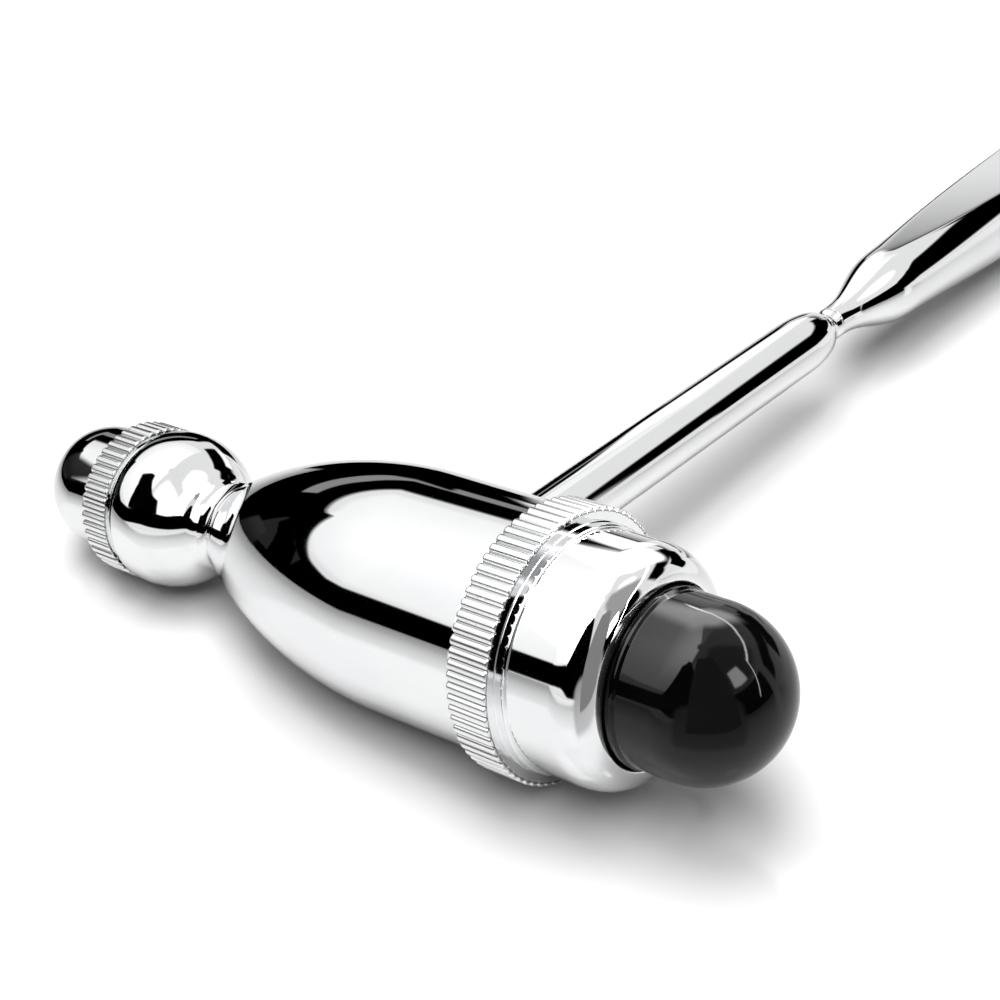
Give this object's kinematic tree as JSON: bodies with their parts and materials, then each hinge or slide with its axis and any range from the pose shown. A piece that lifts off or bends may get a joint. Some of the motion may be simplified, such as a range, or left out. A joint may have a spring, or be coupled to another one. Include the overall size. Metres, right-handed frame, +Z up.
{
  "type": "reflex hammer",
  "caption": "Chromed percussion hammer for testing reflexes: a turned head with a large and a small rubber buffer under screwed, knurled caps, on a round shaft with a flattened tapering grip.",
  "frame": {"origin": "where the head's axis meets the handle's axis, in the middle of the barrel", "axes": "+X along the head to the large buffer, +Y along the handle to the grip's end, +Z up with the grip's flats level, as the hammer lies on a table"},
  "size_m": [0.1107, 0.2453, 0.0314],
  "materials": {
    "head_chrome": "polished",
    "handle_chrome": "polished",
    "buffer_rubber": "smooth moulded, slight sheen",
    "inner_steel": "turned"
  },
  "bodies": {
    "handle_and_head": {"head_barrel": "head_chrome", "neck_collar": "head_chrome", "small_cup": "head_chrome", "neck_stud": "inner_steel", "handle_shaft": "handle_chrome", "handle_lock_screw": "inner_steel", "grip_stud": "inner_steel", "grip": "handle_chrome"},
    "large_tip": {"large_buffer": "buffer_rubber", "large_backing_disc": "inner_steel"},
    "large_cap": {"large_cap": "head_chrome"},
    "small_tip": {"small_buffer": "buffer_rubber", "small_backing_disc": "inner_steel"},
    "small_cap": {"small_cap": "head_chrome"}
  },
  "joints": [
    {"name": "large_tip_slide", "type": "slide", "parent": "handle_and_head", "child": "large_tip", "axis": [1, 0, 0], "range_m": [0, 0.007]},
    {"name": "large_cap_turn", "type": "hinge", "parent": "large_tip", "child": "large_cap", "pos_m": [0.015, 0, 0], "axis": [1, 0, 0], "range_deg": [0, 2520]},
    {"name": "small_tip_slide", "type": "slide", "parent": "handle_and_head", "child": "small_tip", "axis": [-1, 0, 0], "range_m": [0, 0.006]},
    {"name": "small_cap_turn", "type": "hinge", "parent": "small_tip", "child": "small_cap", "pos_m": [-0.05, 0, 0], "axis": [-1, 0, 0], "range_deg": [0, 2160]}
  ],
  "couplings": [
    {"joint": "large_tip_slide", "follows": "large_cap_turn", "m_per_rad": 0.00015915},
    {"joint": "small_tip_slide", "follows": "small_cap_turn", "m_per_rad": 0.00015915}
  ]
}
